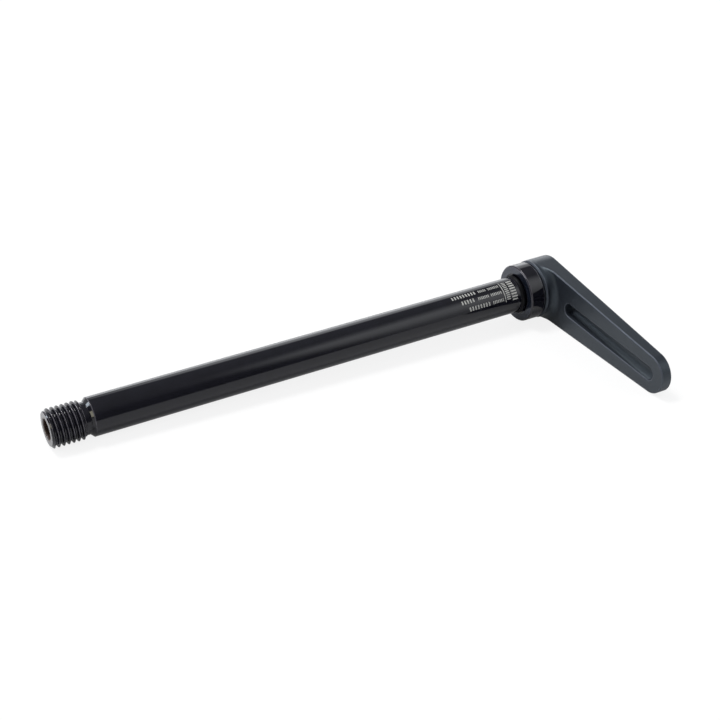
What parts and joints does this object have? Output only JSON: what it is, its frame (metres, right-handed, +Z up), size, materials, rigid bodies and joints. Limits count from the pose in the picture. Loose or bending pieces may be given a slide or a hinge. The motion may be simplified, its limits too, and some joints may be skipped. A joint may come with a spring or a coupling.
{
  "type": "bicycle thru axle",
  "caption": "Hollow wheel axle with a fine thread at one end and, at the other, a seating collar and a sprung lever that pulls out along the axle and turns to a new angle.",
  "frame": {"origin": "on the shaft's axis, in the plane of the collar face that seats on the frame", "axes": "Y along the shaft from the thread to the lever, X along the lever's lower edge away from the shaft, Z up as it lies"},
  "size_m": [0.0747, 0.1775, 0.0196],
  "materials": {
    "gloss_anodised": "gloss black anodised",
    "satin_anodised": "blasted, satin black anodised",
    "ring_rubber": "matt black rubber",
    "plain_steel": "plain spring steel",
    "black_steel": "black oxide"
  },
  "bodies": {
    "axle_body": {"axle": "gloss_anodised", "o_ring": "ring_rubber", "retaining_screw": "black_steel", "return_spring": "plain_steel"},
    "washer_body": {"thrust_washer": "plain_steel"},
    "lever_body": {"lever": "satin_anodised"}
  },
  "joints": [
    {"name": "lever_pull", "type": "slide", "parent": "axle_body", "child": "washer_body", "axis": [0, 1, 0], "range_m": [0, 0.0022], "stiffness_N_per_m": 850, "springref_m": -0.0035, "deforming": ["return_spring"]},
    {"name": "lever_turn", "type": "hinge", "parent": "washer_body", "child": "lever_body", "pos_m": [0, 0.0091, 0], "axis": [0, -1, 0], "continuous": true}
  ]
}
